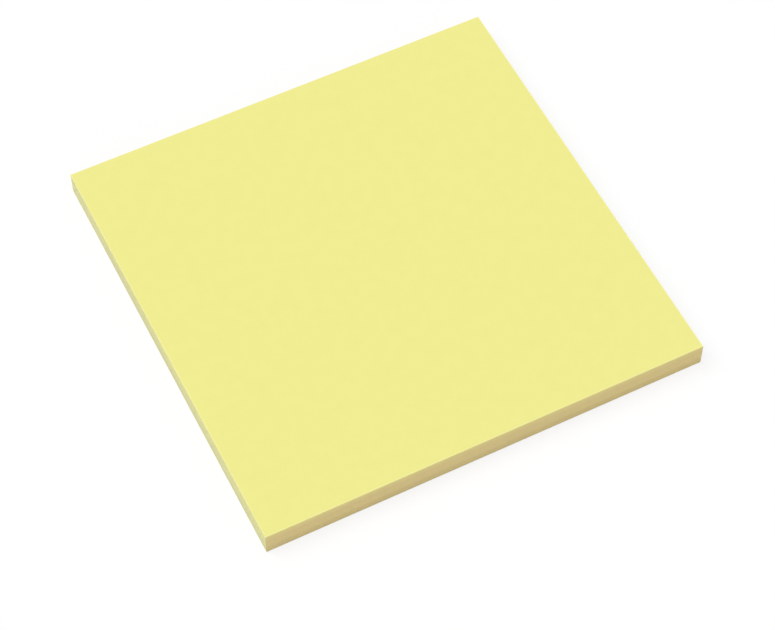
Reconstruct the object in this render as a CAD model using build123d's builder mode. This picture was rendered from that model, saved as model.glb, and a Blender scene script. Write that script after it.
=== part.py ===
"""A square sticky note pad: a block of plain notes, trimmed flush, stuck down on one backing sheet.

Each note carries a band of weak adhesive on its underside along the glued edge, and is free along
the other three, so the notes peel off the top one at a time.

Frame: millimetres, +Z up through the notes. The origin is the centre of the pad's footprint, on
the face it lies on. +Y points at the glued edge and -Y at the free edge that is lifted first.
"""

import os

from build123d import *

# Driving dimensions
NOTE_WIDTH = 76.0  # along X, parallel to the glued edge
NOTE_LENGTH = 76.0  # along Y, from the free edge to the glued edge
NOTE_PITCH = 0.09  # one note with its share of the adhesive and the air under it
NOTE_COUNT = 50
BACKING_THICKNESS = 0.1  # release-coated sheet under the last note

# Heights that follow from them
BLOCK_THICKNESS = NOTE_COUNT * NOTE_PITCH
PAD_THICKNESS = BACKING_THICKNESS + BLOCK_THICKNESS

os.makedirs("parts", exist_ok=True)

# Backing sheet: cut in the same stroke as the notes, so it has their outline.
with BuildPart() as backing_sheet:
    with BuildSketch(Plane.XY):
        Rectangle(NOTE_WIDTH, NOTE_LENGTH)
    extrude(amount=BACKING_THICKNESS)
backing_sheet.part.label = "backing_sheet"

# Note block: all the notes as one solid, seated on the backing sheet.
with BuildPart() as note_block:
    with BuildSketch(Plane.XY.offset(BACKING_THICKNESS)):
        Rectangle(NOTE_WIDTH, NOTE_LENGTH)
    extrude(amount=BLOCK_THICKNESS)
note_block.part.label = "note_block"

for piece in (backing_sheet, note_block):
    export_step(piece.part, f"parts/{piece.part.label}.step")

print(f"pad {NOTE_WIDTH} x {NOTE_LENGTH} x {PAD_THICKNESS:.2f} mm, {NOTE_COUNT} notes")
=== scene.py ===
"""A square sticky note pad: fifty yellow notes, trimmed flush with their backing sheet.

The notes are held by a band of weak adhesive along the +Y edge and lie loose along the other three.
Each note is a sheet of its own. The pad stands in three pieces: the top note, the notes under it and
the backing sheet. One Geometry Nodes tree makes all three, as stacks of forty-nine, one and one.
"""

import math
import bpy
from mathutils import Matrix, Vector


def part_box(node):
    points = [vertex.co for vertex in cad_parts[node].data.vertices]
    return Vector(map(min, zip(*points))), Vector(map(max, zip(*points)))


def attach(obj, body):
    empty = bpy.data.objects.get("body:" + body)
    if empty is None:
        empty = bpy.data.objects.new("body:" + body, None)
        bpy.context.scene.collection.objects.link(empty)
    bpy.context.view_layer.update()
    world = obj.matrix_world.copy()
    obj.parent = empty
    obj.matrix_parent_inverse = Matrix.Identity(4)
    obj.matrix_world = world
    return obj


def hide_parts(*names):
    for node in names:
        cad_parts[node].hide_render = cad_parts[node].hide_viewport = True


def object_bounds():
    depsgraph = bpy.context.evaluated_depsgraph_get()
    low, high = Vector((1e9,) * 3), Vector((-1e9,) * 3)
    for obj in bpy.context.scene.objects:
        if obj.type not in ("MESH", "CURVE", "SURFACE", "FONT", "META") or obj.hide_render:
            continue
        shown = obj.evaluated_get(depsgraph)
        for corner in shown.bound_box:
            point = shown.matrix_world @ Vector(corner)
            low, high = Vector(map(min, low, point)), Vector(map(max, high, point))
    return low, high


bl_info = {
    "name": "Sticky Note Pad",
    "version": (1, 0, 0),
    "blender": (4, 5, 0),
    "location": "3D Viewport > Sidebar > Note Pad",
    "description": "Builds a pad of self-stick notes on a pale studio floor",
    "category": "Object",
}

from typing import NamedTuple

import bpy
from mathutils import Matrix, Vector

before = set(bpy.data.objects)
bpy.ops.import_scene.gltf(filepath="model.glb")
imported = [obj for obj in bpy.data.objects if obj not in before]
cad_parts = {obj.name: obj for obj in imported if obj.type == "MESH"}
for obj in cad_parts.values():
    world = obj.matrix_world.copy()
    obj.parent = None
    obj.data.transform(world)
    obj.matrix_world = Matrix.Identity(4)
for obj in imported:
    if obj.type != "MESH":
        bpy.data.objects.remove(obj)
CAD_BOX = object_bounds()
BACKING_LOW, BACKING_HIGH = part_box("backing_sheet")
BLOCK_LOW, BLOCK_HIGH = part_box("note_block")

MM = 0.001  # metres
BAKE_MAP = "OFBake"  # the name of the map that each piece gets of its own
SHADE = "sheet_shade"  # from 0 to 1, at random for each sheet
SHARE = "sheet_share"  # from 0 at the lowest sheet of the pad to 1 at the top one


# ------------------------------------------------------------------------------------------------
# Sizes and colours that a user would change


class NotePadSheets(bpy.types.PropertyGroup):
    note_count: bpy.props.IntProperty(
        name="Notes",
        description="Notes in the pad, the top one included",
        default=50,
        min=2,
    )
    paper_share: bpy.props.FloatProperty(
        name="Paper Share",
        description="How much of the height of one note is paper, and not air",
        default=0.94,
        min=0.5,
        max=0.99,
        subtype="FACTOR",
    )
    band_length: bpy.props.FloatProperty(
        name="Adhesive Band",
        description="How far the adhesive reaches in from the glued edge",
        default=14 * MM,
        subtype="DISTANCE",
        unit="LENGTH",
    )
    side_drift: bpy.props.FloatProperty(
        name="Side Drift",
        description="The most that the loosest note, at the top, lies out of line",
        default=0.03 * MM,
        precision=5,
        subtype="DISTANCE",
        unit="LENGTH",
    )
    packed_drift: bpy.props.FloatProperty(
        name="Packed Drift",
        description="How much of that drift is left to the notes deep in the pad",
        default=0.2,
        min=0,
        max=1,
        subtype="FACTOR",
    )
    turn: bpy.props.FloatProperty(
        name="Turn",
        description="The most that a note is turned in the pad",
        default=math.radians(0.006),
        subtype="ANGLE",
        unit="ROTATION",
    )
    edge_wander: bpy.props.FloatProperty(
        name="Edge Wander",
        description="How far the cut edges wander from a straight line",
        default=0.008 * MM,
        precision=5,
        subtype="DISTANCE",
        unit="LENGTH",
    )
    stack_rise: bpy.props.FloatProperty(
        name="Stack Rise",
        description="How much higher the free edge of the stack lies for the air between the notes",
        default=0.05 * MM,
        precision=5,
        subtype="DISTANCE",
        unit="LENGTH",
    )
    top_rise: bpy.props.FloatProperty(
        name="Top Note Rise",
        description="How far the free edge of the top note lifts",
        default=0.11 * MM,
        precision=5,
        subtype="DISTANCE",
        unit="LENGTH",
    )
    seed: bpy.props.IntProperty(
        name="Seed",
        description="Fixes how the notes lie",
        default=7,
    )


class NotePadColours(bpy.types.PropertyGroup):
    note: bpy.props.FloatVectorProperty(
        name="Note",
        description="The faces of the notes",
        default=(0.872, 0.839, 0.280),
        size=3,
        min=0,
        max=1,
        subtype="COLOR",
    )
    # Painted highlight: a paler hairline on a note's face along its cut edges, standing for light
    # caught there.
    rim_highlight: bpy.props.FloatVectorProperty(
        name="Rim",
        description="A note's face close to its cut edges, where the knife has raised the fibres",
        default=(0.915, 0.883, 0.365),
        size=3,
        min=0,
        max=1,
        subtype="COLOR",
    )
    # The two cut colours differ by the edges' direction; the difference stands partly for painted
    # bounce light from nearby coloured pads and partly for the paper's own tint.
    end_cut: bpy.props.FloatVectorProperty(
        name="End Cut",
        description="The free and the glued edge, where the cut paper looks warmer",
        default=(0.850, 0.682, 0.324),
        size=3,
        min=0,
        max=1,
        subtype="COLOR",
    )
    side_cut: bpy.props.FloatVectorProperty(
        name="Side Cut",
        description="The other two edges, which look paler and less warm",
        default=(0.778, 0.760, 0.422),
        size=3,
        min=0,
        max=1,
        subtype="COLOR",
    )
    backing: bpy.props.FloatVectorProperty(
        name="Backing",
        description="The backing sheet",
        default=(0.83, 0.82, 0.78),
        size=3,
        min=0,
        max=1,
        subtype="COLOR",
    )
    floor: bpy.props.FloatVectorProperty(
        name="Floor",
        description="The floor, as it lights the pad from below",
        default=(0.75, 0.75, 0.75),
        size=3,
        min=0,
        max=1,
        subtype="COLOR",
    )


class NotePadStage(bpy.types.PropertyGroup):
    azimuth: bpy.props.FloatProperty(
        name="Azimuth",
        description="How far round the pad the camera stands, from straight in front of the free edge",
        default=math.radians(-26.43),
        subtype="ANGLE",
        unit="ROTATION",
    )
    elevation: bpy.props.FloatProperty(
        name="Elevation",
        description="How far above the floor the camera looks down from",
        default=math.radians(56.30),
        subtype="ANGLE",
        unit="ROTATION",
    )
    roll: bpy.props.FloatProperty(
        name="Roll",
        description="How far the camera is rolled about its own line of sight",
        default=math.radians(-0.20),
        subtype="ANGLE",
        unit="ROTATION",
    )
    distance: bpy.props.FloatProperty(
        name="Distance",
        description="From the camera to the point that it looks at",
        default=391.6 * MM,
        subtype="DISTANCE",
        unit="LENGTH",
    )
    lens: bpy.props.FloatProperty(
        name="Lens",
        description="Focal length of the camera, in millimetres",
        default=114.70,
    )
    look_at: bpy.props.FloatVectorProperty(
        name="Look At",
        description="Where the camera looks, from the middle of the top note",
        default=(-3.73 * MM, -10.42 * MM, 0),
        size=3,
        subtype="XYZ",
        unit="LENGTH",
    )
    world_light: bpy.props.FloatProperty(
        name="Room Light",
        description="Even light from all round",
        default=0.42,
        min=0,
    )
    bare_floor: bpy.props.FloatProperty(
        name="Bare Floor",
        description="How much of the floor's whiteness the pad's shadow can't take away",
        default=0.8,
        min=0,
        max=1,
        subtype="FACTOR",
    )


# ------------------------------------------------------------------------------------------------
# Building node trees


def socket_named(sockets, name):
    """The socket with this identifier, or else with this name or place."""
    if isinstance(name, int):
        return sockets[name]
    for socket in sockets:
        if socket.identifier == name:
            return socket
    return sockets[name]


def add(tree, kind, values=None, **settings):
    """Adds a node with these settings. Each of its values is a number or the output that feeds it."""
    made = tree.nodes.new(kind)
    for name, value in settings.items():
        setattr(made, name, value)
    for name, value in (values or {}).items():
        socket = socket_named(made.inputs, name)
        if isinstance(value, bpy.types.NodeSocket):
            tree.links.new(value, socket)
        else:
            socket.default_value = value
    return made


def maths(tree, operation, first, second=0.0):
    """The output of a Math node."""
    return add(tree, "ShaderNodeMath", {0: first, 1: second}, operation=operation).outputs[0]


def remap(tree, value, low, high, to_low=0.0, to_high=1.0, smooth=False):
    """The value, moved from the range low..high to to_low..to_high and held within it."""
    values = {"Value": value, 1: low, 2: high, 3: to_low, 4: to_high}
    kind = "SMOOTHSTEP" if smooth else "LINEAR"
    return add(tree, "ShaderNodeMapRange", values, interpolation_type=kind).outputs[0]


def blend(tree, share, first, second, mode="MIX"):
    """The colour output of a Mix node."""
    values = {"Factor_Float": share, "A_Color": first, "B_Color": second}
    made = add(tree, "ShaderNodeMix", values, data_type="RGBA", blend_type=mode)
    return socket_named(made.outputs, "Result_Color")


def opaque(colour):
    return (*colour, 1.0)


# ------------------------------------------------------------------------------------------------
# Materials, all on Object coordinates, which are metres in the pad's own frame


def new_material(name):
    """Makes a material with a Principled shader. Returns its tree, the shader and the coordinates.

    The loaded frame has materials of its own, named after the record's slots.
    """
    if name in bpy.data.materials:
        raise ValueError(f"the frame already has a material named {name}")
    material = bpy.data.materials.new(name)
    material.use_nodes = True
    tree = material.node_tree
    shader = tree.nodes["Principled BSDF"]
    place = tree.nodes.new("ShaderNodeTexCoord").outputs["Object"]
    return tree, shader, place


class Tone(NamedTuple):
    """A noise that makes a material darker and lighter from place to place."""

    pitches: tuple  # the size of its features along X, Y and Z, in metres
    darkest: float  # what it multiplies the colour by where it is darkest
    lightest: float
    detail: float = 2.0


class Finish(NamedTuple):
    """How a paper reflects light, and how rough it feels."""

    smoothest: float  # the roughness where it is smoothest
    roughest: float
    specular: float
    bump_depth: float  # in metres
    bump_strength: float
    wear_range: tuple = (0.2, 0.8)  # the values of a noise that give the smoothest and the roughest


NOISE_LOW, NOISE_HIGH = 0.25, 0.75  # between these lie nearly all the values of a noise

FACE_FINISH = Finish(0.84, 0.92, 0.3, 0.012 * MM, 0.35)
CUT_FINISH = Finish(0.86, 0.95, 0.25, 0.01 * MM, 0.3)
BACKING_FINISH = Finish(0.5, 0.62, 0.5, 0.008 * MM, 0.3, wear_range=(0.3, 0.8))

FIBRES_ALONG = (0.09 * MM, 0.5 * MM, 0.3 * MM)  # the size of the fibres that lie along Y
FIBRES_ACROSS = (0.4 * MM, 0.12 * MM, 0.3 * MM)  # and of those that lie along X

FACE_CLOUDS = Tone((2.4 * MM, 2.4 * MM, 2.4 * MM), 0.988, 1.008, detail=4.0)
BACKING_CLOUDS = Tone((1.6 * MM, 1.6 * MM, 1.6 * MM), 0.975, 1.015, detail=4.0)
GRAIN_TONE = (0.992, 1.006)  # what the fibres of a note's face multiply its colour by

SHEET_TONE = (0.93, 1.04)  # from the darkest cut sheet to the lightest
FOOT_SHADE_TONE = (0.96, 1.03)  # painted shade: the cut sheets darker towards the foot of the pad, from the lowest to the top one
GLUED_NO_GAP_SHADE = 1.03  # painted shade: the loose part of the sides stays darker for the shade in the air between its sheets; the glued part has no air between the sheets, and is painted lighter
STREAKS = Tone((40 * MM, 40 * MM, 0.12 * MM), 0.96, 1.04, detail=3.0)
BUNDLES = Tone((90 * MM, 90 * MM, 0.9 * MM), 0.98, 1.02, detail=1.0)
KNIFE_MARKS = Tone((0.35 * MM, 0.35 * MM, 7 * MM), 0.985, 1.015)

HIGHLIGHT_BAND = (0.05 * MM, 0.22 * MM)  # painted highlight: how far in from a cut edge a note's face is palest, and then plain
FACE_TINT_FROM = 0.75  # the share of the pad's height from which the sides blend towards the faces' colour
FACE_TINT_AT_TOP = 0.3  # how far they blend towards it at the top
CUT_BLUR = 1 * MM  # the length over which the sides change at the end of the adhesive band
BACKING_BLUR = 0.4 * MM  # the same on the backing sheet
SHOW_THROUGH = 0.12  # how much of the notes' colour shows through the backing sheet
STUCK_SHOW_THROUGH = 0.24  # the same where the adhesive holds the last note against it


def cells(tree, place, pitches, detail=2.0):
    """Noise from 0 to 1 whose features measure about pitches, in metres along X, Y and Z."""
    stretch = [1.0 / pitch for pitch in pitches]
    stretched = add(tree, "ShaderNodeVectorMath", {0: place, 1: stretch}, operation="MULTIPLY")
    values = {"Vector": stretched.outputs[0], "Scale": 1.0, "Detail": detail}
    return add(tree, "ShaderNodeTexNoise", values).outputs["Fac"]


def toned(tree, place, tone):
    """A tone's noise, and what it multiplies the colour by."""
    noise = cells(tree, place, tone.pitches, tone.detail)
    return noise, remap(tree, noise, NOISE_LOW, NOISE_HIGH, tone.darkest, tone.lightest)


def product(tree, factors):
    """All these factors, multiplied."""
    result, *others = factors
    for factor in others:
        result = maths(tree, "MULTIPLY", result, factor)
    return result


def scaled(tree, colour, factors):
    """The colour, multiplied by each of these factors."""
    values = {0: colour, "Scale": product(tree, factors)}
    return add(tree, "ShaderNodeVectorMath", values, operation="SCALE").outputs[0]


def insets(tree, place):
    """How far a point lies inside the nearest side edge, and inside the nearest end, in metres."""
    split = add(tree, "ShaderNodeSeparateXYZ", {0: place})
    side = maths(tree, "SUBTRACT", BLOCK_HIGH.x, maths(tree, "ABSOLUTE", split.outputs["X"]))
    end = maths(tree, "SUBTRACT", BLOCK_HIGH.y, maths(tree, "ABSOLUTE", split.outputs["Y"]))
    return side, end


def glued(tree, place, band_length, blur, loose, stuck):
    """One value where the sheets lie loose and another where the adhesive holds them."""
    length = add(tree, "ShaderNodeSeparateXYZ", {0: place}).outputs["Y"]
    inner = BLOCK_HIGH.y - band_length
    return remap(tree, length, inner - blur, inner + blur, loose, stuck, smooth=True)


def paper_grain(tree, place):
    """Height of a paper face from 0 to 1: felted fibres, most of them lying along Y."""
    along = cells(tree, place, FIBRES_ALONG, detail=3.0)
    across = cells(tree, place, FIBRES_ACROSS, detail=3.0)
    return maths(tree, "MAXIMUM", along, across)


def surfaced(tree, shader, finish, colour, wear, height):
    """Gives the shader its colour and finish. Its roughness follows wear, and its bump height."""
    roughness = remap(tree, wear, *finish.wear_range, finish.smoothest, finish.roughest)
    distances = {"Distance": finish.bump_depth, "Strength": finish.bump_strength}
    bump = add(tree, "ShaderNodeBump", {"Height": height, **distances})
    tree.links.new(colour, shader.inputs["Base Color"])
    tree.links.new(roughness, shader.inputs["Roughness"])
    tree.links.new(bump.outputs["Normal"], shader.inputs["Normal"])
    shader.inputs["Specular IOR Level"].default_value = finish.specular


def note_face_material(colours):
    """Dyed note paper: nearly even, faintly clouded, with a painted highlight that makes it paler in a
    hairline along the cut edges.
    """
    tree, shader, place = new_material("note_face")
    clouds, cloudy = toned(tree, place, FACE_CLOUDS)
    grain = paper_grain(tree, place)
    fibrous = remap(tree, grain, NOISE_LOW, NOISE_HIGH, *GRAIN_TONE)
    nearest = maths(tree, "MINIMUM", *insets(tree, place))
    # painted highlight along the cut edges
    highlighted = remap(tree, nearest, *HIGHLIGHT_BAND, 1.0, 0.0)
    paper = blend(tree, highlighted, opaque(colours.note), opaque(colours.rim_highlight))
    surfaced(tree, shader, FACE_FINISH, scaled(tree, paper, [cloudy, fibrous]), clouds, grain)


def cut_edge_material(colours, sheets):
    """The trimmed side of the stack: streaks along the sheets, crossed by faint marks of the knife."""
    tree, shader, place = new_material("cut_edge")
    shade = add(tree, "ShaderNodeAttribute", attribute_name=SHADE).outputs["Fac"]
    share = add(tree, "ShaderNodeAttribute", attribute_name=SHARE).outputs["Fac"]
    streaks, streaky = toned(tree, place, STREAKS)
    marks, marked = toned(tree, place, KNIFE_MARKS)
    tones = [
        remap(tree, shade, 0.0, 1.0, *SHEET_TONE),
        # painted shade, darker towards the foot of the pad
        remap(tree, share, 0.0, 1.0, *FOOT_SHADE_TONE),
        # painted shade: lighter where glued, for the lack of shade between the sheets
        glued(tree, place, sheets.band_length, CUT_BLUR, 1.0, GLUED_NO_GAP_SHADE),
        streaky,
        toned(tree, place, BUNDLES)[1],
        marked,
    ]
    # two cut colours by direction: partly painted bounce light from nearby coloured pads, partly the
    # paper's own tint
    on_side = maths(tree, "LESS_THAN", *insets(tree, place))
    straw = blend(tree, on_side, opaque(colours.end_cut), opaque(colours.side_cut))
    # the sides of the upper sheets blend towards the faces' colour, lighter and yellower towards the
    # top
    face_tinted = remap(tree, share, FACE_TINT_FROM, 1.0, 0.0, FACE_TINT_AT_TOP, smooth=True)
    straw = blend(tree, face_tinted, straw, opaque(colours.note))
    relief = maths(tree, "ADD", streaks, marks)
    surfaced(tree, shader, CUT_FINISH, scaled(tree, straw, tones), streaks, relief)


def backing_material(colours, sheets):
    """Thin release paper: satin and off-white, with the notes showing through as a faint warmth."""
    tree, shader, place = new_material("release_paper")
    cloudy = toned(tree, place, BACKING_CLOUDS)[1]
    grain = paper_grain(tree, place)
    amounts = (SHOW_THROUGH, STUCK_SHOW_THROUGH)
    through = glued(tree, place, sheets.band_length, BACKING_BLUR, *amounts)
    paper = blend(tree, through, opaque(colours.backing), opaque(colours.note))
    surfaced(tree, shader, BACKING_FINISH, scaled(tree, paper, [cloudy]), grain, grain)


def shown_to_camera(tree):
    """1 where a surface is seen directly, in a gloss or through glass, and 0 where it lights others."""
    path = tree.nodes.new("ShaderNodeLightPath")
    seen = maths(tree, "MAXIMUM", path.outputs["Is Camera Ray"], path.outputs["Is Glossy Ray"])
    return maths(tree, "MAXIMUM", seen, path.outputs["Is Transmission Ray"])


def floor_material(colours, stage):
    """A white floor that keeps the pad's shadow, and lights the pad only as its own colour does."""
    material = bpy.data.materials.new("floor_white")
    material.use_nodes = True
    tree = material.node_tree
    tree.nodes.remove(tree.nodes["Principled BSDF"])
    lighting = add(tree, "ShaderNodeBsdfDiffuse", {"Color": opaque(colours.floor)}).outputs[0]
    matte = add(tree, "ShaderNodeBsdfDiffuse", {"Color": (1, 1, 1, 1)}).outputs[0]
    glow = add(tree, "ShaderNodeEmission", {"Color": (1, 1, 1, 1), "Strength": 1.0}).outputs[0]
    seen = add(tree, "ShaderNodeMixShader", {0: stage.bare_floor, 1: matte, 2: glow}).outputs[0]
    mixed = add(tree, "ShaderNodeMixShader", {0: shown_to_camera(tree), 1: lighting, 2: seen})
    tree.links.new(mixed.outputs[0], tree.nodes["Material Output"].inputs["Surface"])
    return material


# ------------------------------------------------------------------------------------------------
# The Geometry Nodes tree that stacks sheets

SHEET_INPUTS = (
    ("Sheets", "NodeSocketInt"),
    ("First Sheet", "NodeSocketInt"),
    ("Sheets In Pad", "NodeSocketInt"),
    ("Width", "NodeSocketFloat"),
    ("Length", "NodeSocketFloat"),
    ("Thickness", "NodeSocketFloat"),
    ("Pitch", "NodeSocketFloat"),
    ("Seat", "NodeSocketFloat"),
    ("Side Drift", "NodeSocketFloat"),
    ("Packed Drift", "NodeSocketFloat"),
    ("Turn", "NodeSocketFloat"),
    ("Edge Wander", "NodeSocketFloat"),
    ("Adhesive Band", "NodeSocketFloat"),
    ("Free Rise", "NodeSocketFloat"),
    ("Seed", "NodeSocketInt"),
    ("Face Material", "NodeSocketMaterial"),
    ("Edge Material", "NodeSocketMaterial"),
)
POINTS_ACROSS = 9  # along X, in each sheet's mesh
POINTS_ALONG = 17  # along Y
WANDER_PITCH = 9 * MM  # the length over which a cut edge wanders
WANDER_HEIGHT = 3 * MM  # the height over which the wander of one sheet resembles the next one's
TOP_LOOSENESS = 3.0  # how much more the upper sheets rise: this power of their share of the height
DRIFT_LOOSENESS = 9.0  # the same for how far they lie out of line
WANDER_GAIN = 4.0  # a noise seldom strays more than a quarter from its middle


def random_per_sheet(tree, sheet, seed, low, high, kind):
    """A random value between low and high, the same each time for a sheet of this number."""
    suffix = {"FLOAT": "_001", "FLOAT_VECTOR": ""}[kind]
    values = {"Min" + suffix: low, "Max" + suffix: high, "ID": sheet, "Seed": seed}
    made = add(tree, "FunctionNodeRandomValue", values, data_type=kind)
    return socket_named(made.outputs, "Value" + suffix)


def vector_of(tree, x=0.0, y=0.0, z=0.0):
    """The output of a Combine XYZ node."""
    return add(tree, "ShaderNodeCombineXYZ", {"X": x, "Y": y, "Z": z}).outputs[0]


def sheet_numbers(tree, given):
    """Each sheet's own number in the whole pad, from 0 at the bottom."""
    index = tree.nodes.new("GeometryNodeInputIndex").outputs[0]
    return maths(tree, "ADD", index, given["First Sheet"])


def share_of_height(tree, given):
    """Each sheet's share of the pad's height, from 0 for the lowest to 1 for the top one."""
    last = maths(tree, "SUBTRACT", given["Sheets In Pad"], 1.0)
    return maths(tree, "DIVIDE", sheet_numbers(tree, given), last)


def seats(tree, given):
    """One point for each sheet, at its middle, a little out of line with the others."""
    middle = maths(tree, "ADD", given["Seat"], maths(tree, "MULTIPLY", given["Thickness"], 0.5))
    values = {
        "Count": given["Sheets"],
        "Start Location": vector_of(tree, z=middle),
        "Offset": vector_of(tree, z=given["Pitch"]),
    }
    line = add(tree, "GeometryNodeMeshLine", values, mode="OFFSET").outputs[0]
    number = sheet_numbers(tree, given)
    loose = maths(tree, "POWER", share_of_height(tree, given), DRIFT_LOOSENESS)
    held = remap(tree, loose, 0.0, 1.0, given["Packed Drift"], 1.0)
    reach = maths(tree, "MULTIPLY", given["Side Drift"], held)
    most = vector_of(tree, reach, reach)
    least = add(tree, "ShaderNodeVectorMath", {0: most, "Scale": -1.0}, operation="SCALE").outputs[0]
    drift = random_per_sheet(tree, number, given["Seed"], least, most, "FLOAT_VECTOR")
    return add(tree, "GeometryNodeSetPosition", {"Geometry": line, "Offset": drift}).outputs[0]


def stacked_sheets(tree, given):
    """The sheets as real meshes, each with its own shade and its share of the pad's height."""
    size = vector_of(tree, given["Width"], given["Length"], given["Thickness"])
    counts = {"Vertices X": POINTS_ACROSS, "Vertices Y": POINTS_ALONG, "Vertices Z": 2}
    sheet = add(tree, "GeometryNodeMeshCube", {"Size": size, **counts}).outputs["Mesh"]
    number = sheet_numbers(tree, given)
    opposite = maths(tree, "MULTIPLY", given["Turn"], -1.0)
    turned_seed = maths(tree, "ADD", given["Seed"], 1.0)
    turned = random_per_sheet(tree, number, turned_seed, opposite, given["Turn"], "FLOAT")
    values = {"Points": seats(tree, given), "Instance": sheet, "Rotation": vector_of(tree, z=turned)}
    geometry = add(tree, "GeometryNodeInstanceOnPoints", values).outputs[0]
    shade_seed = maths(tree, "ADD", given["Seed"], 2.0)
    shade = random_per_sheet(tree, number, shade_seed, 0.0, 1.0, "FLOAT")
    share = share_of_height(tree, given)
    for name, value in ((SHADE, shade), (SHARE, share)):
        values = {"Geometry": geometry, "Name": name, "Value": value}
        stored = add(tree, "GeometryNodeStoreNamedAttribute", values, domain="INSTANCE")
        geometry = stored.outputs[0]
    return add(tree, "GeometryNodeRealizeInstances", {"Geometry": geometry}).outputs[0]


def loosened(tree, given, geometry):
    """Lets the sheets rise towards the free edge, and their cut edges wander."""
    place = tree.nodes.new("GeometryNodeInputPosition").outputs[0]
    half = maths(tree, "MULTIPLY", given["Length"], 0.5)
    inner = maths(tree, "SUBTRACT", half, given["Adhesive Band"])
    free_edge = maths(tree, "MULTIPLY", half, -1.0)
    length = add(tree, "ShaderNodeSeparateXYZ", {0: place}).outputs["Y"]
    slack = remap(tree, length, inner, free_edge, smooth=True)
    share = add(tree, "GeometryNodeInputNamedAttribute", {"Name": SHARE}, data_type="FLOAT")
    high = maths(tree, "POWER", share.outputs["Attribute"], TOP_LOOSENESS)
    rise = maths(tree, "MULTIPLY", maths(tree, "MULTIPLY", slack, high), given["Free Rise"])
    pitches = (1 / WANDER_PITCH, 1 / WANDER_PITCH, 1 / WANDER_HEIGHT)
    stretched = add(tree, "ShaderNodeVectorMath", {0: place, 1: pitches}, operation="MULTIPLY")
    values = {"Vector": stretched.outputs[0], "Scale": 1.0, "Detail": 2.0}
    noise = add(tree, "ShaderNodeTexNoise", values).outputs["Color"]
    centred = add(tree, "ShaderNodeVectorMath", {0: noise, 1: (0.5, 0.5, 0.5)}, operation="SUBTRACT")
    reach = maths(tree, "MULTIPLY", given["Edge Wander"], WANDER_GAIN)
    both = {0: centred.outputs[0], 1: vector_of(tree, reach, reach)}
    sideways = add(tree, "ShaderNodeVectorMath", both, operation="MULTIPLY").outputs[0]
    both = {0: sideways, 1: vector_of(tree, z=rise)}
    offset = add(tree, "ShaderNodeVectorMath", both, operation="ADD").outputs[0]
    values = {"Geometry": geometry, "Offset": offset}
    return add(tree, "GeometryNodeSetPosition", values).outputs[0]


def painted(tree, given, geometry):
    """Gives the sheets' faces one material and their cut edges the other."""
    faces = {"Geometry": geometry, "Material": given["Face Material"]}
    geometry = add(tree, "GeometryNodeSetMaterial", faces).outputs[0]
    normal = tree.nodes.new("GeometryNodeInputNormal").outputs[0]
    upward = add(tree, "ShaderNodeSeparateXYZ", {0: normal}).outputs["Z"]
    is_edge = maths(tree, "LESS_THAN", maths(tree, "ABSOLUTE", upward), 0.5)
    edges = {"Geometry": geometry, "Selection": is_edge, "Material": given["Edge Material"]}
    return add(tree, "GeometryNodeSetMaterial", edges).outputs[0]


def sheet_tree():
    """The tree that stacks sheets of paper, made once."""
    if "stacked_sheets" in bpy.data.node_groups:
        return bpy.data.node_groups["stacked_sheets"]
    tree = bpy.data.node_groups.new("stacked_sheets", "GeometryNodeTree")
    for name, kind in SHEET_INPUTS:
        tree.interface.new_socket(name, in_out="INPUT", socket_type=kind)
    tree.interface.new_socket("Geometry", in_out="OUTPUT", socket_type="NodeSocketGeometry")
    given = tree.nodes.new("NodeGroupInput").outputs
    geometry = painted(tree, given, loosened(tree, given, stacked_sheets(tree, given)))
    add(tree, "NodeGroupOutput", {"Geometry": geometry})
    return tree


# ------------------------------------------------------------------------------------------------
# From the tree to finished pieces


CUT_SIDES = 4
MAP_MARGIN = 0.004  # between the map's parts, as a share of its width
FACES_OF_ONE = 0.9  # the share of the map's width for the faces of a single sheet
FACES_OF_STACK = 0.2  # the same for a stack, whose sides show more than its faces


def lay_out_map(mesh, face_side):
    """Gives the mesh a map of its own with room for every cut edge.

    The faces that look up or down all share one square, face_side wide. Above it, each of the
    four cut sides is a row across the whole map, with its sheets one over another.
    """
    low = [min(v.co[axis] for v in mesh.vertices) for axis in range(3)]
    high = [max(v.co[axis] for v in mesh.vertices) for axis in range(3)]
    row = (1 - face_side) / CUT_SIDES
    layer = mesh.uv_layers.new(name=BAKE_MAP)
    for face in mesh.polygons:
        normal = face.normal
        flat = abs(normal.z) > 0.5
        across = 0 if flat or abs(normal.y) > abs(normal.x) else 1
        upright = 1 if flat else 2
        side = (normal.x + normal.y > 0) + 2 * across
        for corner in face.loop_indices:
            place = mesh.vertices[mesh.loops[corner].vertex_index].co
            u = (place[across] - low[across]) / (high[across] - low[across])
            v = (place[upright] - low[upright]) / (high[upright] - low[upright])
            if flat:
                u = MAP_MARGIN + u * (face_side - 2 * MAP_MARGIN)
                v = MAP_MARGIN + v * (face_side - 2 * MAP_MARGIN)
            else:
                u = MAP_MARGIN + u * (1 - 2 * MAP_MARGIN)
                v = face_side + row * side + MAP_MARGIN + v * (row - 2 * MAP_MARGIN)
            layer.uv[corner].vector = (u, v)


def make_sheets(name, values, face_side):
    """Stacks sheets with the tree, and returns them as a plain mesh object at the origin."""
    piece = bpy.data.objects.new(name, bpy.data.meshes.new(name))
    bpy.context.scene.collection.objects.link(piece)
    modifier = piece.modifiers.new("stacked_sheets", "NODES")
    modifier.node_group = sheet_tree()
    for item in modifier.node_group.interface.items_tree:
        if item.in_out == "INPUT":
            modifier[item.identifier] = values[item.name]
    depsgraph = bpy.context.evaluated_depsgraph_get()
    mesh = bpy.data.meshes.new_from_object(piece.evaluated_get(depsgraph))
    piece.modifiers.remove(modifier)
    mesh.name = name
    piece.data = mesh
    lay_out_map(mesh, face_side)
    return piece


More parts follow.
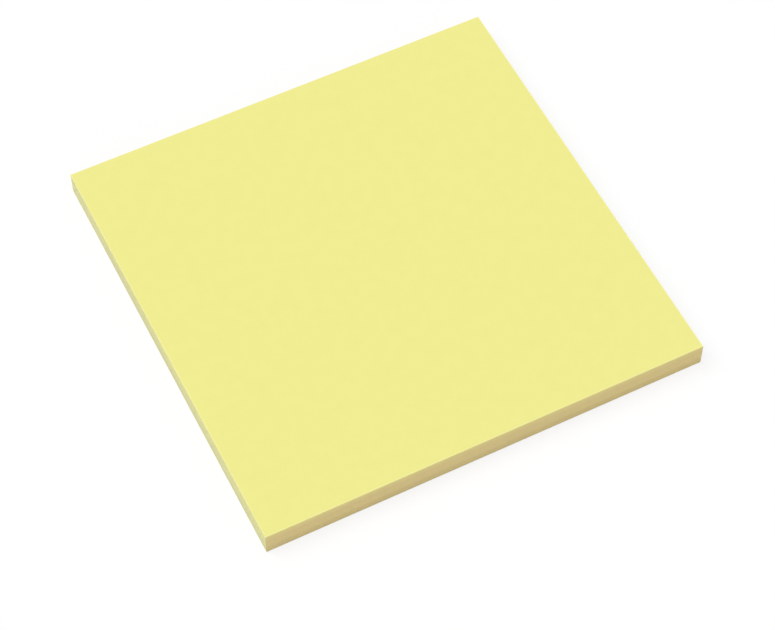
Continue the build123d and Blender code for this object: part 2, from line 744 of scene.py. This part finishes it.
def note_values(context):
    """The tree's inputs that every note shares.

    The glued edge is lower than the block by as much as the top note's free edge rises.
    """
    sheets = context.scene.note_pad_sheets
    size = BLOCK_HIGH - BLOCK_LOW
    pitch = (size.z - sheets.top_rise) / sheets.note_count
    return {
        "Sheets In Pad": sheets.note_count,
        "Width": size.x,
        "Length": size.y,
        "Thickness": pitch * sheets.paper_share,
        "Pitch": pitch,
        "Side Drift": sheets.side_drift,
        "Packed Drift": sheets.packed_drift,
        "Turn": sheets.turn,
        "Edge Wander": sheets.edge_wander,
        "Adhesive Band": sheets.band_length,
        "Seed": sheets.seed,
        "Face Material": bpy.data.materials["note_face"],
        "Edge Material": bpy.data.materials["cut_edge"],
    }


def settle(piece, node):
    """Makes the piece stand for a CAD node and take its place on the pad's one body."""
    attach(piece, "root")
    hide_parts(node)


class NotePadMakeMaterials(bpy.types.Operator):
    """Makes the papers that the pad is built from"""

    bl_idname = "note_pad.make_materials"
    bl_label = "Make Materials"

    def execute(self, context):
        colours = context.scene.note_pad_colours
        sheets = context.scene.note_pad_sheets
        note_face_material(colours)
        cut_edge_material(colours, sheets)
        backing_material(colours, sheets)
        return {"FINISHED"}


class NotePadMakeBacking(bpy.types.Operator):
    """Makes the backing sheet under the last note"""

    bl_idname = "note_pad.make_backing"
    bl_label = "Make Backing Sheet"

    def execute(self, context):
        thickness = BACKING_HIGH.z - BACKING_LOW.z
        paper = bpy.data.materials["release_paper"]
        values = note_values(context) | {
            "Sheets": 1,
            "First Sheet": 0,
            "Seat": BACKING_LOW.z,
            "Thickness": thickness,
            "Side Drift": 0.0,
            "Turn": 0.0,
            "Free Rise": 0.0,
            "Face Material": paper,
            "Edge Material": paper,
        }
        backing = make_sheets("backing", values, FACES_OF_ONE)
        settle(backing, "backing_sheet")
        return {"FINISHED"}


class NotePadMakeNotes(bpy.types.Operator):
    """Makes all the notes but the top one"""

    bl_idname = "note_pad.make_notes"
    bl_label = "Make Notes"

    def execute(self, context):
        sheets = context.scene.note_pad_sheets
        values = note_values(context) | {
            "Sheets": sheets.note_count - 1,
            "First Sheet": 0,
            "Seat": BLOCK_LOW.z,
            "Free Rise": sheets.stack_rise,
        }
        settle(make_sheets("notes", values, FACES_OF_STACK), "note_block")
        return {"FINISHED"}


class NotePadMakeTopNote(bpy.types.Operator):
    """Makes the top note, which lifts a hair's breadth at its free edge"""

    bl_idname = "note_pad.make_top_note"
    bl_label = "Make Top Note"

    def execute(self, context):
        sheets = context.scene.note_pad_sheets
        values = note_values(context)
        below = sheets.note_count - 1
        values |= {
            "Sheets": 1,
            "First Sheet": below,
            "Seat": BLOCK_LOW.z + below * values["Pitch"],
            "Free Rise": sheets.top_rise,
        }
        settle(make_sheets("top_note", values, FACES_OF_ONE), "note_block")
        return {"FINISHED"}


# ------------------------------------------------------------------------------------------------
# Floor, lights and camera

SENSOR_WIDTH = 36.0  # millimetres, as the focal length is
NEAREST_SEEN = 10 * MM  # from the camera
FLOOR_SIDE = 4.0  # metres
FLOOR_DROP = 0.01 * MM  # keeps the floor's face apart from the pad's underside

# Each lamp's strength is the light that it gives a white surface which faces it.
# Azimuth and elevation say where it stands, as for the camera.
LAMPS = (
    {"name": "key", "azimuth": -125, "elevation": 62, "strength": 0.58, "spread": 45},
    {"name": "front_fill", "azimuth": 0, "elevation": 20, "strength": 0.2, "spread": 70},
)


def towards(azimuth, elevation):
    """The direction from the pad to something that stands at this azimuth and elevation."""
    level = math.cos(elevation)
    return Vector((math.sin(azimuth) * level, -math.cos(azimuth) * level, math.sin(elevation)))


def make_floor(context):
    half = FLOOR_SIDE / 2
    corners = [(-half, -half), (half, -half), (half, half), (-half, half)]
    mesh = bpy.data.meshes.new("floor")
    mesh.from_pydata([(x, y, CAD_BOX[0].z - FLOOR_DROP) for x, y in corners], [], [(0, 1, 2, 3)])
    stage = context.scene.note_pad_stage
    mesh.materials.append(floor_material(context.scene.note_pad_colours, stage))
    floor = bpy.data.objects.new("floor", mesh)
    context.scene.collection.objects.link(floor)


def make_lamp(context, name, azimuth, elevation, strength, spread):
    lamp = bpy.data.lights.new(name, "SUN")
    lamp.energy = strength * math.pi
    lamp.angle = math.radians(spread)
    holder = bpy.data.objects.new(name, lamp)
    direction = towards(math.radians(azimuth), math.radians(elevation))
    holder.rotation_mode = "QUATERNION"
    holder.rotation_quaternion = direction.to_track_quat("Z", "Y")
    holder.location = direction
    context.scene.collection.objects.link(holder)


def make_world(context):
    world = bpy.data.worlds.new("studio")
    world.use_nodes = True
    tree = world.node_tree
    seen = shown_to_camera(tree)
    strength = remap(tree, seen, 0.0, 1.0, context.scene.note_pad_stage.world_light, 1.0)
    background = tree.nodes["Background"]
    background.inputs["Color"].default_value = (1, 1, 1, 1)
    tree.links.new(strength, background.inputs["Strength"])
    context.scene.world = world


def make_camera(context):
    stage = context.scene.note_pad_stage
    back = towards(stage.azimuth, stage.elevation)
    right = Vector((math.cos(stage.azimuth), math.sin(stage.azimuth), 0))
    up = back.cross(right)
    middle = (CAD_BOX[0] + CAD_BOX[1]) / 2
    target = Vector((middle.x, middle.y, CAD_BOX[1].z)) + Vector(stage.look_at)
    data = bpy.data.cameras.new("camera")
    data.sensor_width = SENSOR_WIDTH
    data.lens = stage.lens
    data.clip_start = NEAREST_SEEN
    camera = bpy.data.objects.new("camera", data)
    facing = Matrix((right, up, back)).transposed() @ Matrix.Rotation(stage.roll, 3, "Z")
    place = Matrix.Translation(target + back * stage.distance)
    camera.matrix_world = place @ facing.to_4x4()
    context.scene.collection.objects.link(camera)
    context.scene.camera = camera


class NotePadMakeStage(bpy.types.Operator):
    """Makes the floor, the lamps and the camera"""

    bl_idname = "note_pad.make_stage"
    bl_label = "Make Stage"

    def execute(self, context):
        context.scene.view_settings.view_transform = "Standard"
        make_floor(context)
        for lamp in LAMPS:
            make_lamp(context, **lamp)
        make_world(context)
        make_camera(context)
        return {"FINISHED"}


# ------------------------------------------------------------------------------------------------
# The panel and the run

OPERATORS = (
    NotePadMakeMaterials,
    NotePadMakeBacking,
    NotePadMakeNotes,
    NotePadMakeTopNote,
    NotePadMakeStage,
)
GROUPS = {
    "note_pad_sheets": NotePadSheets,
    "note_pad_colours": NotePadColours,
    "note_pad_stage": NotePadStage,
}


class NotePadPanel(bpy.types.Panel):
    """Lists the pad's steps, and the sizes and colours behind them"""

    bl_idname = "VIEW3D_PT_note_pad"
    bl_label = "Sticky Note Pad"
    bl_space_type = "VIEW_3D"
    bl_region_type = "UI"
    bl_category = "Note Pad"

    def draw(self, context):
        for operator in OPERATORS:
            self.layout.operator(operator.bl_idname)
        for name, group in GROUPS.items():
            column = self.layout.column()
            for field in group.__annotations__:
                column.prop(getattr(context.scene, name), field)


def register():
    for group in (*GROUPS.values(), *OPERATORS, NotePadPanel):
        bpy.utils.register_class(group)
    for name, group in GROUPS.items():
        setattr(bpy.types.Scene, name, bpy.props.PointerProperty(type=group))


def unregister():
    for name in GROUPS:
        delattr(bpy.types.Scene, name)
    for group in (NotePadPanel, *reversed(OPERATORS), *reversed(GROUPS.values())):
        bpy.utils.unregister_class(group)


def main():
    register()
    bpy.ops.note_pad.make_materials()
    bpy.ops.note_pad.make_backing()
    bpy.ops.note_pad.make_notes()
    bpy.ops.note_pad.make_top_note()
    bpy.ops.note_pad.make_stage()


if __name__ == "__main__":
    main()
